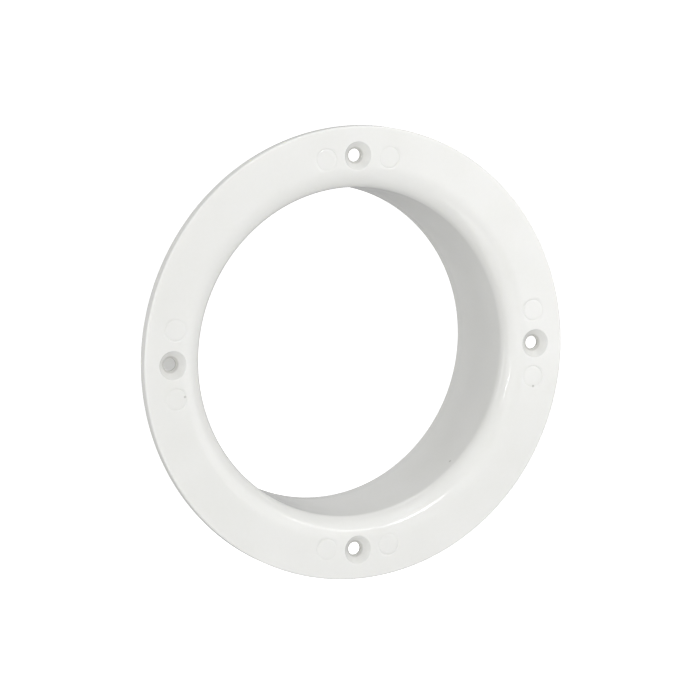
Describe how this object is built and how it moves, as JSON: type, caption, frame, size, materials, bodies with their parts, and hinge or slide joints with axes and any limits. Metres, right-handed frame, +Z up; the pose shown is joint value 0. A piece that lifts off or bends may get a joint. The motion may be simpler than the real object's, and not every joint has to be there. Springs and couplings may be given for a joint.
{
  "type": "toilet flange",
  "caption": "Moulded toilet flange with a flat round screw-down plate, a smooth flared mouth and a short thin-walled collar for the waste pipe.",
  "frame": {"origin": "on the flange's axis, in the plane of the plate's back face, at the centre of the circle of screw holes", "axes": "+Y along the axis from the front face to the collar's open end, so the front face looks towards -Y; +Z up and +X to the right as seen from the front, each through a screw hole"},
  "size_m": [0.134, 0.0309, 0.134],
  "materials": {
    "white_plastic": "smooth glossy white moulded plastic"
  },
  "bodies": {
    "root": {"flange_body": "white_plastic"}
  },
  "joints": []
}
